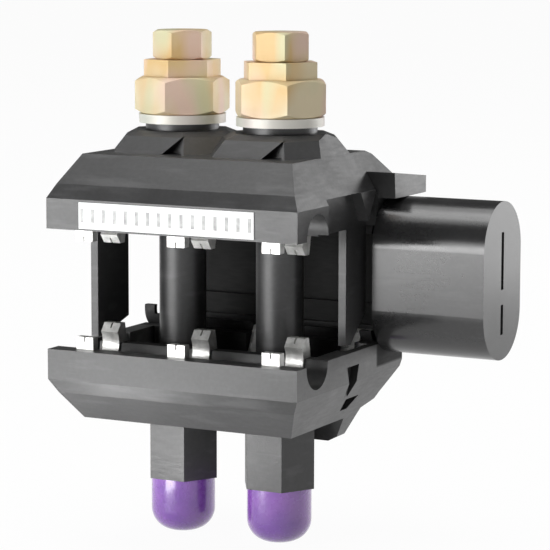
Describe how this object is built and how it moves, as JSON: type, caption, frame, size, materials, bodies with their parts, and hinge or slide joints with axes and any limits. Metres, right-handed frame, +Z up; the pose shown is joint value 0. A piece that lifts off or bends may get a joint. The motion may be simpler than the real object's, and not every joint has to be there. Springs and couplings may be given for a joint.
{
  "type": "insulation piercing connector",
  "caption": "Insulation piercing connector, open: toothed black plastic jaws on shear-head bolts, bare conductor side in front, tap cable side with a large end cap behind.",
  "frame": {"origin": "on the axis of the bare main conductor, midway along the jaws and in the middle of the open gap", "axes": "+X along both conductors towards the end cap, +Y from the bare side to the tap side, +Z up along the bolts"},
  "size_m": [0.0999, 0.0651, 0.1286],
  "materials": {
    "jaw_plastic": "moulded, faintly satin",
    "contact_metal": "tinned, satin",
    "seal_rubber": "soft, matt",
    "bolt_cap_plastic": "glossy purple",
    "yellow_zinc": "yellow passivated zinc plating",
    "washer_zinc": "pale zinc plating",
    "nut_zinc": "zinc plating",
    "end_cap_plastic": "glossy black",
    "label_white": "plain white film"
  },
  "bodies": {
    "lower": {"lower_jaw": "jaw_plastic", "lower_blade_left": "contact_metal", "lower_blade_middle": "contact_metal", "lower_blade_right": "contact_metal", "lower_tap_seal": "seal_rubber", "nut_left": "nut_zinc", "nut_right": "nut_zinc", "bolt_end_cap_left": "bolt_cap_plastic", "bolt_end_cap_right": "bolt_cap_plastic"},
    "upper": {"upper_jaw": "jaw_plastic", "upper_blade_left": "contact_metal", "upper_blade_middle": "contact_metal", "upper_blade_right": "contact_metal", "upper_tap_seal": "seal_rubber", "washer_left": "washer_zinc", "washer_right": "washer_zinc", "cable_end_cap": "end_cap_plastic", "label": "label_white"},
    "left_bolt": {"bolt_left": "yellow_zinc"},
    "right_bolt": {"bolt_right": "yellow_zinc"}
  },
  "joints": [
    {"name": "jaw_slide", "type": "slide", "parent": "lower", "child": "upper", "axis": [0, 0, -1], "range_m": [0, 0.016]},
    {"name": "left_bolt_turn", "type": "hinge", "parent": "upper", "child": "left_bolt", "pos_m": [-0.0139, 0.021, 0], "axis": [0, 0, -1], "range_deg": [0, 4608]},
    {"name": "right_bolt_turn", "type": "hinge", "parent": "upper", "child": "right_bolt", "pos_m": [0.0139, 0.021, 0], "axis": [0, 0, -1], "range_deg": [0, 4608]}
  ],
  "couplings": [
    {"joint": "left_bolt_turn", "follows": "jaw_slide", "rad_per_m": 5026.5},
    {"joint": "right_bolt_turn", "follows": "jaw_slide", "rad_per_m": 5026.5}
  ]
}
